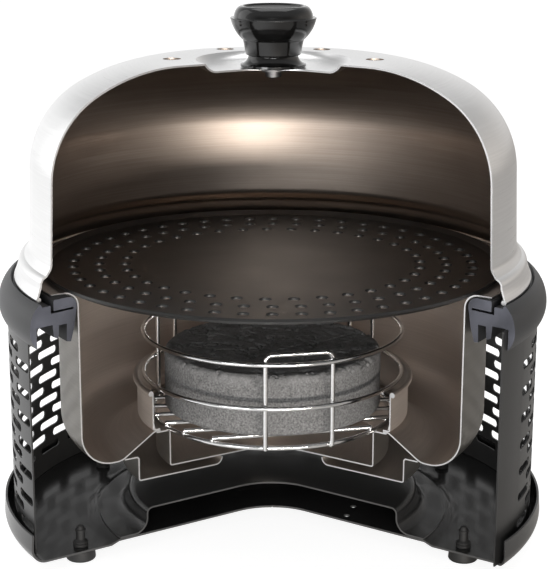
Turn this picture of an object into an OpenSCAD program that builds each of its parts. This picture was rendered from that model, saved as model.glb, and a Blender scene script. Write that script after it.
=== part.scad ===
// Portable charcoal grill shown as a cutaway: a wedge is taken out of the front of its shells.
// Millimetres. The origin is on the ground under the middle of the outline seen from above.
// The open wedge faces -Y. Azimuths are measured about the grill's axis from -Y, positive towards +X.

/* [Cutaway] */
// Azimuth of the left cut through lid, bowl and trays
cut_left = 58.4; // [40:0.1:80]
// Azimuth of the right cut through lid, bowl and trays
cut_right = 57.1; // [40:0.1:80]
// Azimuth of the left cut through base pan and heat shield
base_cut_left = 56.3; // [40:0.1:58]
// Azimuth of the right cut through base pan and heat shield
base_cut_right = 56; // [40:0.1:58]
// Azimuth of the right cut at the top of the base pan's rim
rim_cut_right = 53.3; // [40:0.1:58]
// Azimuth of the left cut through the slotted wall
wall_cut_left = 59.4; // [40:0.1:80]
// Azimuth of the right cut through the slotted wall
wall_cut_right = 53; // [40:0.1:80]
// Azimuth of both collar cuts at the collar's inner edge
collar_cut_inner = 57; // [40:0.1:80]
// Azimuth of both collar cuts at the collar's outer edge
collar_cut_outer = 54.5; // [40:0.1:80]
// Radius of the rounded corner where the two cuts meet
cut_corner_r = 35; // [20:1:45]

/* [Base] */
// Height of the rubber feet under the floor pan
foot_h = 6.4; // [4:0.1:15]
// Radius of a foot at the ground
foot_r = 8.5; // [6:0.1:12]
// Distance of the feet's middle from the rim's widest line
foot_inset = 34; // [26:0.5:42]
// Azimuth of the front feet, and of the rear feet from the back
foot_az = 60; // [60:0.5:75]
// Radius of a foot's stem
foot_stem_r = 2.6; // [2:0.1:4]
// Height of a foot's stem above the floor pan
foot_stem_h = 12; // [8:0.5:16]
// Largest radius of the floor pan's rim
rim_r = 160; // [140:0.5:180]
// Height of the rim above the floor pan's underside
rim_h = 17.6; // [14:0.1:24]
// Radius of the bend between floor and rim
rim_bend_r = 9; // [8:0.1:11]
// Sheet thickness of the floor pan
pan_t = 1.2; // [0.8:0.1:2]
// Height that the floor pan's middle is raised
floor_step = 1.8; // [0.8:0.1:3]
// Distance from the feet's middle to the foot of that step
step_inset = 16; // [12:0.5:22]
// Width of the step's slope
step_w = 5; // [3:0.1:8]
// Height of the heat shield above the floor pan
shield_h = 15.2; // [12:0.1:20]
// Distance of the heat shield's flange from the top of the step
shield_inset = 0.6; // [0.2:0.1:3]
// Distance from the flange's edge to the heat shield's upright side
shield_flange_w = 18.4; // [15:0.1:24]
// Sheet thickness of the heat shield
shield_t = 1; // [0.6:0.1:1.6]
// Radius of the air holes in the floor pan
air_hole_r = 1.8; // [1:0.1:3]
// Distance of the air holes from the axis
air_hole_place_r = 49.5; // [40:0.5:60]

/* [Slotted wall] */
// Distance of the wall's outside from the rim's widest line
wall_inset = 5.8; // [5:0.1:7]
// Sheet thickness of the slotted wall
wall_t = 0.9; // [0.6:0.1:1.4]
// Rows of slots
slot_rows = 14; // [8:1:14]
// Slots in a full turn
slots_per_turn = 30; // [24:1:30]
// Length of a slot
slot_l = 23; // [14:0.5:24]
// Height of a slot
slot_h = 5; // [3:0.1:5.5]
// Height of one row, a slot and a bar
row_h = 7.8; // [7:0.1:8]
// Height of the lowest slots' row above the floor pan's underside
slots_lift = 13; // [6:0.1:14]
// Plain strip beside the right cut, in degrees
plain_strip = 15; // [5:0.1:20]

/* [Collar] */
// Distance that the collar stands out from the wall
collar_overhang = 4.6; // [3.6:0.1:8]
// Height of the collar's widest line above the ground
collar_mid_z = 142; // [140:0.5:146]
// Height of the collar's shoulder above its widest line
collar_rise = 15.5; // [15:0.1:18]
// Radius of the rounded inner edge of the ledge that carries the bowl
ledge_r = 6; // [5:0.1:6.6]
// Distance from the lid's rolled edge to the middle of that round
ledge_inset = 14.6; // [14:0.1:16]

/* [Bowl] */
// Distance from the middle of the ledge's round to the bowl's upright wall
bowl_inset = 8.2; // [7.8:0.1:9.4]
// Sheet thickness of bowl, moat ring, air tray and ash pan
steel_t = 0.8; // [0.5:0.1:1]
// Height of the moat's lowest line above the ground
moat_z = 54.5; // [50:0.5:58]
// Radius of the moat's outer corner
moat_outer_r = 19.5; // [14:0.5:22]
// Radius of the moat's inner corner
moat_inner_r = 11; // [8:0.5:14]
// Slope of the moat's inner cone, in degrees
cone_slope = 33; // [28:1:36]
// Radius of the rim's flare
flare_r = 7.4; // [6.8:0.1:8]
// Gap between the basket's legs and the throat's flange
throat_gap = 0.65; // [0.3:0.05:1.5]
// Width of the throat's flange
throat_w = 3.4; // [2:0.1:4]
// Distance from the throat's inner edge to the outside of the moat ring
moat_ring_w = 4.8; // [4:0.1:6]
// Height of the moat ring
moat_ring_h = 24; // [16:0.5:30]
// Width of the air tray's flange
tray_flange_w = 8.5; // [6:0.1:10]
// Height of the ash pan above the air tray's underside
tray_gap = 5.5; // [4:0.1:8]
// Radius of the air tray's hole
tray_hole_r = 34.5; // [25:0.5:45]
// Depth of the ash pan
ash_h = 22.4; // [14:0.2:24]

/* [Basket] */
// Wire diameter
wire_d = 2.6; // [2:0.1:3]
// Radius of the top and middle rings
basket_r = 76.3; // [66:0.1:84]
// Height of the middle ring above the bottom ring
middle_ring_h = 24.6; // [18:0.2:28]
// Height of the top ring above the bottom ring
top_ring_h = 49.8; // [44:0.2:54]
// Height of the loops' bars above the top ring
loop_rise = 4.7; // [4:0.1:10]
// Radius of the bends in the loops
loop_bend_r = 4; // [2.5:0.1:6]
// Turn of the basket about its axis
basket_turn = 12; // [0:1:20]
// Grate wires
grate_wires = 8; // [4:2:8]
// Distance between grate wires
grate_pitch = 15.5; // [12:0.5:17]

/* [Charcoal stone] */
// Radius of the stone
stone_r = 64; // [50:0.5:68]
// Height of the stone
stone_h = 35.4; // [25:0.2:42]
// Radius of the stone's worn top edge
stone_edge_r = 4; // [2:0.5:8]

/* [Grill plate] */
// Distance that the plate reaches past the bowl's upright wall
plate_overlap = 9.1; // [7:0.1:10.5]
// Sheet thickness of the plate
plate_t = 1.5; // [1:0.1:3]
// Height that the plate's rim rises
plate_rim_h = 2.6; // [1.6:0.1:4]
// Width of the plate's rising rim
plate_rim_w = 4.5; // [3:0.1:6]
// Radius of the plate's holes
plate_hole_r = 3.5; // [2.5:0.1:4.5]
// Distance between the plate's holes
plate_hole_pitch = 15; // [13:0.5:20]
// Rows of holes round the plate
plate_hole_rows = 3; // [1:1:4]

/* [Lid] */
// Distance from the lid's rolled edge to its upright wall
lid_step = 9.2; // [8:0.1:9.6]
// Height of the lid, from its rolled edge to its flat top
lid_h = 122.6; // [110:0.2:140]
// Sheet thickness of the lid
lid_t = 1; // [0.6:0.1:1.4]
// Radius of the rolled edge's wire
lid_bead_r = 1.5; // [1.2:0.1:1.8]
// Distance of the rolled edge from the wall's outside
bead_inset = 6; // [5.6:0.1:6.6]
// Radius of the dome's shoulder
dome_shoulder_r = 54; // [40:1:56]
// Radius of the dome's crown
dome_crown_r = 104; // [90:1:120]
// Distance from the vent holes' middle to the knob's recessed seat
seat_inset = 13.5; // [10:0.5:18]
// Depth of the knob's recessed seat
seat_depth = 4.2; // [2:0.1:6]
// Radius of a vent hole
vent_r = 5.2; // [3:0.1:6]
// Distance of the vent holes' middle from the edge of the flat top
vent_inset = 2.5; // [0:0.5:6]

/* [Knob] */
// Largest radius of the knob
knob_r = 24.4; // [21:0.1:28]
// Height of the knob
knob_h = 34.2; // [30:0.2:40]
// Radius of the knob's neck
knob_neck_r = 14.2; // [11:0.1:16]
// Radius of the knob's foot
knob_foot_r = 18.6; // [17:0.1:21]
// Radius of the knob's flat top
knob_top_r = 17.6; // [14:0.1:19]
// Radius of the knob screw's shank
screw_r = 2.4; // [2:0.1:3]

/* [Fits] */
// Gap where one piece rests on another
rest_gap = 0.1; // [0.05:0.01:0.3]
// Gap between curved faces of pieces that lift apart
seat_gap = 0.3; // [0.2:0.05:0.5]
// Gap between wires that are welded together
weld_gap = 0.05; // [0.02:0.01:0.1]
// Gap round a stem or screw in its hole
hole_gap = 0.2; // [0.1:0.05:0.4]

/* [Hidden] */
$fn = 96;
reach = 700;
tall = 400;

wall_r = rim_r - wall_inset;
collar_r = wall_r + collar_overhang;
lid_bead_place_r = wall_r - bead_inset;
ledge_place_r = lid_bead_place_r - ledge_inset;
bowl_r = ledge_place_r - bowl_inset;
plate_r = bowl_r + plate_overlap;
lid_r = lid_bead_place_r - lid_step;
axis_y = (plate_r - rim_r) / 2;

floor_z = foot_h;
floor_top_z = floor_z + pan_t;
foot_place_r = rim_r - foot_inset;
step_foot_r = foot_place_r - step_inset;
step_top_r = step_foot_r - step_w;
shield_flange_r = step_top_r - shield_inset;
shield_r = shield_flange_r - shield_flange_w;
shield_z = floor_top_z + floor_step + rest_gap;
air_hole_places = [72, 162, 252];
air_hole_pair = 8.5;

rim_bend_c = [rim_r - rim_bend_r, floor_z + rim_bend_r];
rim_lean = 0.6;

slots_z = floor_z + slots_lift;
slots_top_z = slots_z + slot_rows * row_h;
slot_step = 360 / slots_per_turn;
wall_reach = wall_r - rim_bend_c[0];
wall_z = rim_bend_c[1] - sqrt(pow(rim_bend_r - pan_t, 2) - pow(wall_reach, 2)) + rest_gap;
through = 10;
deck_rise = 1.6;
deck_z = collar_mid_z + deck_rise;
wall_top_z = deck_z - rest_gap;

ledge_rise = 9.2;
ledge_z = collar_mid_z + ledge_rise;
ledge_top_z = ledge_z + ledge_r;
groove_rise = 12.5;
groove_z = collar_mid_z + groove_rise;
groove_inset = 3.3;
groove_r = lid_bead_place_r - groove_inset;
channel_w = 1.9;
cap_r = groove_r - channel_w;
neck_inset = 1;
collar_neck_r = lid_bead_place_r - neck_inset;
collar_bulge = collar_r - collar_neck_r;
collar_drop = 12.5;
lip_t = 1.2;
channel_r = wall_r + seat_gap;
lip_turn = acos((channel_r + lip_t - collar_neck_r) / collar_bulge);

collar_screw_drop = 4;
collar_screw_z = collar_mid_z - collar_screw_drop;
collar_screw_r = 1.5;
collar_screw_head_r = 2.8;
collar_screw_head_h = 1.7;
collar_screw_bite = 2.4;
collar_screw_places = [90, 180, 270];

flange_inset = 2;
flange_r = cap_r - flange_inset;
bowl_flare_c = [bowl_r + flare_r, ledge_top_z + seat_gap - flare_r];
moat_outer_c = [bowl_r - moat_outer_r, moat_z + moat_outer_r];
moat_flat_w = 2.4;
moat_inner_c = [moat_outer_c[0] - moat_flat_w, moat_z + moat_inner_r];
cone_start = moat_inner_c + moat_inner_r * [-sin(cone_slope), -cos(cone_slope)];
wire_r = wire_d / 2;
leg_r = basket_r - wire_d - weld_gap;
bottom_ring_r = leg_r - wire_d - weld_gap;
throat_r = leg_r + wire_r + throat_gap;
throat_outer_r = throat_r + throat_w;
moat_ring_r = throat_r + moat_ring_w;
ash_r = bottom_ring_r - wire_r;
throat_z = cone_start[1] + (cone_start[0] - throat_outer_r) * tan(cone_slope);
moat_ring_z = throat_z + steel_t + rest_gap;
ash_top_z = throat_z - rest_gap;
ash_z = ash_top_z - ash_h;
tray_inset = 5;
tray_flange_r = moat_inner_c[0] - tray_inset;
tray_r = tray_flange_r - tray_flange_w;
tray_top_z = moat_inner_c[1] - sqrt(pow(moat_inner_r, 2) - pow(tray_inset, 2)) - 2 * rest_gap;
tray_z = ash_z - tray_gap;

bottom_ring_z = ash_top_z + rest_gap + wire_r;
middle_ring_z = bottom_ring_z + middle_ring_h;
top_ring_z = bottom_ring_z + top_ring_h;
grate_z = bottom_ring_z + wire_d + weld_gap;
wide_loop = 15;
narrow_loop = 8;
right_loop = 119.5;
left_loop = -129;

stone_z = grate_z + wire_r + rest_gap;

plate_flat_r = plate_r - plate_rim_w;
plate_rest_r = flare_r + steel_t + rest_gap;
plate_rest_in = max(0, bowl_flare_c[0] - plate_flat_r);
plate_z = bowl_flare_c[1] + sqrt(pow(plate_rest_r, 2) - pow(plate_rest_in, 2));
plate_hole_inset = 14;
plate_outer_hole_r = plate_flat_r - plate_hole_inset;

lid_bead_z = groove_z + rest_gap + lid_bead_r;
lid_top_z = groove_z + rest_gap + lid_h;
seat_z = lid_top_z - seat_depth;
shoulder_a = 60;
crown_edge_r = lid_r - dome_shoulder_r + (dome_shoulder_r - dome_crown_r) * cos(shoulder_a);
crown_c = [crown_edge_r, lid_top_z - dome_crown_r];
shoulder_c = [lid_r - dome_shoulder_r, crown_c[1] + (dome_crown_r - dome_shoulder_r) * sin(shoulder_a)];
vent_place_r = crown_edge_r - vent_inset;
seat_r = vent_place_r - seat_inset;
skirt_h = 17.5;
skirt_top_z = lid_bead_z + skirt_h;
lid_foot_w = 1.6;
lid_foot_r = lid_r + lid_foot_w;

knob_z = seat_z + rest_gap;
washer_r = 8;
washer_t = 1.2;
screw_head_r = 4.6;
screw_head_h = 3.2;
screw_depth = 14;

// Point at a radius and an azimuth
function polar(r, az) = [r * sin(az), -r * cos(az)];
// Points along an arc in a profile, from one angle to another
function arc(c, r, from, to, steps = 10) =
    [for (i = [0 : steps]) let (a = from + (to - from) * i / steps) c + r * [cos(a), sin(a)]];
// Points along a shallow bow that rises to the left of the line from a to b
function bow(a, b, rise, steps = 6) =
    let (d = b - a, n = [-d[1], d[0]] / norm(d))
    [for (i = [0 : steps]) let (t = i / steps) a + t * d + 4 * rise * t * (1 - t) * n];
function unit(v) = v / norm(v);
// Left-hand normal of a path at one of its points
function left_normal(path, i) =
    let (
        n = len(path) - 1,
        before = i > 0 ? unit(path[i] - path[i - 1]) : unit(path[1] - path[0]),
        after = i < n ? unit(path[i + 1] - path[i]) : unit(path[n] - path[n - 1]),
        m = unit(before + after),
        stretch = 1 / max(0.4, m * after)
    )
    stretch * [-m[1], m[0]];
// Outline of a sheet of even thickness on the left of a path
function sheet(path, t) =
    concat(path, [for (i = [len(path) - 1 : -1 : 0]) path[i] + t * left_normal(path, i)]);

// Wedge between two azimuths, with the corner at the axis rounded
module wedge(left, right, corner_r = cut_corner_r) {
    half = (left + right) / 2;
    turn = (right - left) / 2;
    back = corner_r / tan(half);
    rotate([0, 0, turn])
        linear_extrude(tall) {
            polygon([polar(back, -half), polar(back, half), polar(reach, half), polar(reach, -half)]);
            translate(polar(corner_r / sin(half), 0)) circle(corner_r);
        }
}

// Body turned from a profile, with the wedge taken out
module cut_turned(left = cut_left, right = cut_right) {
    difference() {
        rotate_extrude() children();
        wedge(left, right);
    }
}

// Children moved from the turning axis to where the axis stands
module on_axis() {
    translate([0, axis_y, 0]) children();
}

// Straight wire between two points
module wire(a, b) {
    d = b - a;
    translate(a)
        rotate([0, acos(d[2] / norm(d)), atan2(d[1], d[0])])
            cylinder(r = wire_r, h = norm(d), $fn = 24);
}

// End of the rim that stands past the floor's right cut
module rim_end() {
    behind = 1;
    from = rim_bend_c[0] - pan_t;
    to = rim_r + pan_t;
    linear_extrude(tall)
        polygon([
            polar(from, base_cut_right + behind), polar(from, base_cut_right),
            polar(to, rim_cut_right), polar(to, base_cut_right + behind)
        ]);
}

module base_pan() {
    side = concat(
        [[0, floor_z + floor_step], [step_top_r, floor_z + floor_step]],
        [[step_foot_r, floor_z]],
        arc(rim_bend_c, rim_bend_r, -90, 0, 10),
        [[rim_r - rim_lean, floor_z + rim_h]]
    );
    color("#1b1b1c")
        difference() {
            rotate_extrude() polygon(sheet(side, pan_t));
            difference() {
                wedge(base_cut_left, base_cut_right);
                rim_end();
            }
            for (az = [-foot_az, foot_az, 180 - foot_az, 180 + foot_az])
                translate(polar(foot_place_r, az))
                    cylinder(r = foot_stem_r + hole_gap, h = floor_top_z + 1, $fn = 32);
            for (az = air_hole_places, pair_az = [-air_hole_pair, air_hole_pair])
                translate(polar(air_hole_place_r, az + pair_az))
                    cylinder(r = air_hole_r, h = shield_z, $fn = 32);
        }
}

module heat_shield() {
    foot_bend = 9;
    top_bend = 3;
    under = shield_z;
    top = shield_z + shield_h;
    side = concat(
        [[shield_flange_r, under]],
        arc([shield_r + foot_bend, under + foot_bend], foot_bend, 270, 180, 8),
        arc([shield_r - top_bend, top - top_bend - shield_t], top_bend, 0, 90, 6),
        [[0, top - shield_t]]
    );
    color("#202021")
        cut_turned(base_cut_left, base_cut_right)
            polygon([for (p = sheet(side, -shield_t)) [max(0, p[0]), p[1]]]);
}

module foot(az) {
    edge = 1.5;
    collar_stem_r = foot_stem_r + 1.7;
    collar_stem_h = 3;
    tip = 1.2;
    under = floor_z - weld_gap;
    above = floor_top_z + weld_gap;
    color("#151515")
        translate(polar(foot_place_r, az))
            rotate_extrude($fn = 48)
                polygon([
                    [0, 0], [foot_r - edge, 0], [foot_r, edge], [foot_r - 0.6, under], [foot_stem_r, under],
                    [foot_stem_r, above], [collar_stem_r, above], [collar_stem_r, above + collar_stem_h],
                    [foot_stem_r, above + collar_stem_h], [foot_stem_r, above + foot_stem_h - tip],
                    [foot_stem_r - tip, above + foot_stem_h], [0, above + foot_stem_h]
                ]);
}

// Plain band of the wall between two heights
module wall_band(low, high) {
    rotate([0, 0, wall_cut_right - 90])
        rotate_extrude(angle = 360 - wall_cut_left - wall_cut_right)
            translate([wall_r - wall_t, low]) square([wall_t, high - low]);
}

// One row of slots, half a step on in every second row
module slot_row(i) {
    low = slots_z + i * row_h;
    first = wall_cut_right + plain_strip + (i % 2) * slot_step / 2;
    last = 360 - wall_cut_left;
    end_r = slot_h / 2;
    difference() {
        wall_band(low, low + row_h);
        for (az = [first : slot_step : last])
            rotate([0, 0, az - 90])
                translate([wall_r - through / 2, 0, low + row_h / 2])
                    rotate([90, 0, 90])
                        linear_extrude(through) {
                            square([slot_l - slot_h, slot_h], center = true);
                            for (s = [-1, 1])
                                translate([s * (slot_l / 2 - end_r), 0]) circle(end_r, $fn = 24);
                        }
    }
}

// Children pointing outwards at each collar screw, from a distance off the axis
module at_collar_screws(from) {
    for (az = collar_screw_places)
        rotate([0, 0, az - 90])
            translate([from, 0, collar_screw_z])
                rotate([0, 90, 0]) children();
}

module perforated_wall() {
    color("#1d1d1e") {
        wall_band(wall_z, slots_z);
        for (i = [0 : slot_rows - 1]) slot_row(i);
        difference() {
            wall_band(slots_top_z, wall_top_z);
            at_collar_screws(wall_r - through / 2)
                cylinder(r = collar_screw_r + hole_gap, h = through, $fn = 24);
        }
    }
}

module collar_screws() {
    head_r = wall_r - wall_t - rest_gap - collar_screw_head_h;
    shank = channel_r + collar_screw_bite - head_r;
    color("#b9b9bb")
        at_collar_screws(head_r) {
            cylinder(r = collar_screw_head_r, h = collar_screw_head_h, $fn = 32);
            cylinder(r = collar_screw_r, h = shank, $fn = 24);
        }
}

module collar() {
    ledge_c = [ledge_place_r, ledge_z];
    outer_c = [collar_neck_r, collar_mid_z];
    groove_w = 5.3;
    slit = 1.2;
    slit_r = ledge_place_r - 3.6;
    rib_r = ledge_place_r + 6.2;
    rib_w = 4.2;
    rib_h = 8.5;
    leg_r = ledge_place_r - 4;
    leg_w = 5;
    leg_h = 11.6;
    shoulder = [for (t = [68 : -8.5 : 0]) outer_c + [collar_bulge * cos(t), collar_rise * sin(t)]];
    skirt = [
        for (i = [1 : 6])
            let (t = -lip_turn * i / 6) outer_c + [collar_bulge * cos(t), collar_drop * sin(t)]
    ];
    lip_z = skirt[len(skirt) - 1][1];
    profile = concat(
        arc(ledge_c, ledge_r, 180, 90, 8),
        [[cap_r, ledge_top_z], [cap_r, ledge_z], [slit_r, ledge_z], [slit_r, ledge_z - slit]],
        [[groove_r, ledge_z - slit], [groove_r, groove_z], [groove_r + groove_w, groove_z]],
        shoulder,
        skirt,
        [[channel_r, lip_z], [channel_r, deck_z]],
        [[rib_r + rib_w, deck_z], [rib_r + rib_w - 0.6, deck_z - rib_h + 1.5]],
        [[rib_r + 0.6, deck_z - rib_h], [rib_r, deck_z - 1]],
        [[leg_r + leg_w, deck_z - 1], [leg_r + leg_w + 0.4, deck_z - leg_h + 0.6]],
        [[leg_r + 2.6, deck_z - leg_h], [leg_r, deck_z - 3]]
    );
    inner_r = ledge_place_r - ledge_r;
    color("#26272a")
        difference() {
            rotate_extrude() polygon(profile);
            linear_extrude(tall)
                polygon([
                    for (s = [-1, 1], k = s > 0 ? [0, 1] : [1, 0])
                        let (
                            a = polar(inner_r - 5, s * collar_cut_inner),
                            b = polar(collar_r, s * collar_cut_outer)
                        )
                        k == 0 ? a : a + 6 * (b - a)
                ]);
            at_collar_screws(channel_r - 1)
                cylinder(r = collar_screw_r + hole_gap, h = 1 + collar_screw_bite + hole_gap, $fn = 24);
        }
}

module inner_bowl() {
    side = concat(
        [[flange_r, ledge_top_z + seat_gap]],
        arc(bowl_flare_c, flare_r, 90, 180, 10),
        arc(moat_outer_c, moat_outer_r, 0, -90, 10),
        arc(moat_inner_c, moat_inner_r, -90, -90 - cone_slope, 6),
        [[throat_outer_r, throat_z], [throat_r, throat_z]]
    );
    color("#a8a39c") cut_turned() polygon(sheet([for (i = [len(side) - 1 : -1 : 0]) side[i]], steel_t));
}

module moat_ring() {
    bead_r = 1.6;
    top = moat_ring_z + moat_ring_h;
    inner = moat_ring_r - steel_t;
    color("#b3aea7")
        cut_turned() {
            translate([throat_r, moat_ring_z]) square([moat_ring_r - throat_r, steel_t]);
            translate([inner, moat_ring_z]) square([steel_t, moat_ring_h - bead_r]);
            translate([inner + bead_r, top - bead_r]) circle(bead_r, $fn = 32);
        }
}

module air_tray() {
    bend = 1.6;
    lip_h = tray_gap - steel_t - rest_gap;
    side = concat(
        [[tray_flange_r, tray_top_z - steel_t], [tray_r, tray_top_z - steel_t]],
        arc([tray_r - bend, tray_z + bend], bend, 0, -90, 4),
        arc([tray_hole_r + lip_h, tray_z + lip_h], lip_h, 270, 180, 6)
    );
    color("#aaa59e") cut_turned() polygon(sheet(side, -steel_t));
}

module ash_pan() {
    bend = 1.6;
    flange_w = throat_w - 1;
    side = concat(
        [[throat_r + flange_w, ash_top_z - steel_t], [ash_r, ash_top_z - steel_t]],
        arc([ash_r - bend, ash_z + bend], bend, 0, -90, 4),
        [[0, ash_z]]
    );
    color("#aaa59e") cut_turned() polygon([for (p = sheet(side, -steel_t)) [max(0, p[0]), p[1]]]);
}

module basket_ring(r, z) {
    color("#d8d8d8")
        translate([0, 0, z])
            rotate_extrude()
                translate([r, 0]) circle(wire_r, $fn = 24);
}

module basket_loop(az, half) {
    bend_z = top_ring_z + loop_rise - loop_bend_r;
    leg_l = bend_z - bottom_ring_z;
    bar_half = round(100 * (leg_r * sin(half) - loop_bend_r)) / 100;
    half_w = bar_half + loop_bend_r;
    color("#d2d2d2")
        rotate([0, 0, az])
            translate([0, -leg_r * cos(half), bend_z]) {
                for (s = [-1, 1]) {
                    translate([s * half_w, 0, -leg_l]) cylinder(r = wire_r, h = leg_l, $fn = 24);
                    translate([s * bar_half, 0, 0])
                        rotate([90, 0, 0])
                            rotate([0, 0, s > 0 ? 0 : 90])
                                rotate_extrude(angle = 90, $fn = 48)
                                    translate([loop_bend_r, 0]) circle(wire_r, $fn = 24);
                }
                translate([-bar_half, 0, loop_bend_r])
                    rotate([0, 90, 0]) cylinder(r = wire_r, h = 2 * bar_half, $fn = 24);
            }
}

module basket_grate() {
    end_r = bottom_ring_r + wire_r - weld_gap;
    color("#d0d0d0")
        rotate([0, 0, basket_turn])
            for (i = [0 : grate_wires - 1]) {
                d = (i - (grate_wires - 1) / 2) * grate_pitch;
                half_l = sqrt(end_r * end_r - pow(abs(d) + wire_r, 2));
                wire([-half_l, d, grate_z], [half_l, d, grate_z]);
            }
}

module charcoal_stone() {
    bottom_edge = 2;
    dish = 1.2;
    top = stone_z + stone_h;
    color("#77777a")
        rotate_extrude()
            polygon(concat(
                [[0, stone_z], [stone_r - bottom_edge, stone_z], [stone_r, stone_z + bottom_edge]],
                arc([stone_r - stone_edge_r, top - stone_edge_r], stone_edge_r, 0, 90, 6),
                [[stone_r - stone_edge_r - 6, top - dish], [0, top - dish]]
            ));
}

module grill_plate() {
    side = [[0, plate_z], [plate_flat_r, plate_z], [plate_r, plate_z + plate_rim_h]];
    color("#1a1a1a")
        difference() {
            rotate_extrude() polygon(sheet(side, plate_t));
            for (row = [0 : plate_hole_rows - 1]) {
                r = plate_outer_hole_r - row * plate_hole_pitch;
                holes = floor(360 / (2 * asin(plate_hole_pitch / 2 / r)));
                for (i = [0 : holes - 1])
                    rotate([0, 0, (i + row / 2) * 360 / holes])
                        translate([r, 0, plate_z - 1])
                            cylinder(r = plate_hole_r, h = plate_t + 2, $fn = 24);
            }
        }
}

module lid() {
    step_r = 5;
    skirt_r = lid_bead_place_r - 1.2;
    seat_wall = 5;
    side = concat(
        [[lid_bead_place_r, lid_bead_z], [skirt_r, skirt_top_z - 2 * step_r]],
        arc([skirt_r - step_r, skirt_top_z - 2 * step_r + 0.6], step_r, 10, 70, 4),
        [[lid_foot_r, skirt_top_z], [lid_foot_r - 0.2, skirt_top_z + 3]],
        arc(shoulder_c, dome_shoulder_r, 0, shoulder_a, 12),
        arc(crown_c, dome_crown_r, shoulder_a + 4, 90, 6),
        [[seat_r, lid_top_z], [seat_r - seat_wall, seat_z], [0, seat_z]]
    );
    color("#c9c6c2")
        difference() {
            cut_turned() {
                polygon([for (p = sheet(side, lid_t)) [max(0, p[0]), p[1]]]);
                translate([lid_bead_place_r, lid_bead_z]) circle(lid_bead_r, $fn = 32);
            }
            for (az = [90 : 60 : 270])
                translate([0, 0, lid_top_z - 20])
                    translate(polar(vent_place_r, az)) cylinder(r = vent_r, h = 30, $fn = 32);
            translate([0, 0, seat_z - 10]) cylinder(r = screw_r + hole_gap, h = 20, $fn = 32);
        }
}

module lid_knob() {
    foot_edge = 1.6;
    neck_h = 6.2;
    neck_step = [1.6, 1.2];
    waist_h = 15;
    waist_r = knob_neck_r + 3;
    ridge_h = knob_h - 7.2;
    ridge_w = 2.1;
    ridge_t = 0.7;
    crown_r = knob_r - ridge_w;
    crown_z = ridge_h + ridge_t;
    lip_w = 1.2;
    dish = 1.2;
    color("#121213")
        translate([0, 0, knob_z])
            difference() {
                rotate_extrude($fn = 72)
                    polygon(concat(
                        [[0, 0], [knob_foot_r, 0]],
                        bow([knob_foot_r, foot_edge], [knob_neck_r, neck_h], 1),
                        [[knob_neck_r, neck_h] + neck_step],
                        bow([waist_r, waist_h], [knob_r, ridge_h], -1.1),
                        [[knob_r, crown_z], [crown_r, crown_z]],
                        [
                            for (a = [15 : 15 : 90])
                                let (out = (crown_r - knob_top_r) * cos(a), up = (knob_h - crown_z) * sin(a))
                                [knob_top_r + out, crown_z + up]
                        ],
                        [[knob_top_r - lip_w, knob_h - dish], [0, knob_h - dish]]
                    ));
                translate([0, 0, -1]) cylinder(r = screw_r + hole_gap, h = screw_depth + 3, $fn = 32);
            }
}

module knob_washer() {
    top = seat_z - lid_t - rest_gap;
    color("#b8b8b8")
        translate([0, 0, top - washer_t])
            difference() {
                cylinder(r = washer_r, h = washer_t, $fn = 48);
                translate([0, 0, -1]) cylinder(r = screw_r + hole_gap, h = washer_t + 2, $fn = 32);
            }
}

module knob_screw() {
    head_top = seat_z - lid_t - washer_t - 2 * rest_gap;
    recess = 1.6;
    color("#c4c4c4")
        difference() {
            union() {
                translate([0, 0, head_top - screw_head_h])
                    cylinder(r = screw_head_r, h = screw_head_h, $fn = 48);
                translate([0, 0, head_top])
                    cylinder(r = screw_r, h = knob_z + screw_depth - head_top, $fn = 32);
            }
            for (turn = [0, 90])
                rotate([0, 0, turn])
                    translate([-2.6, -0.5, head_top - screw_head_h - 1]) cube([5.2, 1, recess + 1]);
        }
}

on_axis() base_pan();
on_axis() heat_shield();
on_axis() foot(-foot_az);  // foot_front_left
on_axis() foot(foot_az);  // foot_front_right
on_axis() foot(180 + foot_az);  // foot_rear_left
on_axis() foot(180 - foot_az);  // foot_rear_right
on_axis() perforated_wall();
on_axis() collar();
on_axis() collar_screws();
on_axis() inner_bowl();
on_axis() moat_ring();
on_axis() air_tray();
on_axis() ash_pan();
on_axis() basket_ring(bottom_ring_r, bottom_ring_z);  // basket_bottom_ring
on_axis() basket_ring(basket_r, middle_ring_z);  // basket_middle_ring
on_axis() basket_ring(basket_r, top_ring_z);  // basket_top_ring
on_axis() basket_loop(basket_turn, wide_loop);  // basket_loop_front
on_axis() basket_loop(basket_turn + right_loop, narrow_loop);  // basket_loop_right
on_axis() basket_loop(basket_turn + left_loop, narrow_loop);  // basket_loop_left
on_axis() basket_grate();
on_axis() charcoal_stone();
on_axis() grill_plate();
on_axis() lid();
on_axis() lid_knob();
on_axis() knob_washer();
on_axis() knob_screw();
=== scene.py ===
"""Portable charcoal grill, cut open at the front: its finishes, light and camera."""
import math

import bmesh
import bpy
from mathutils import Matrix, Vector, noise


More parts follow.
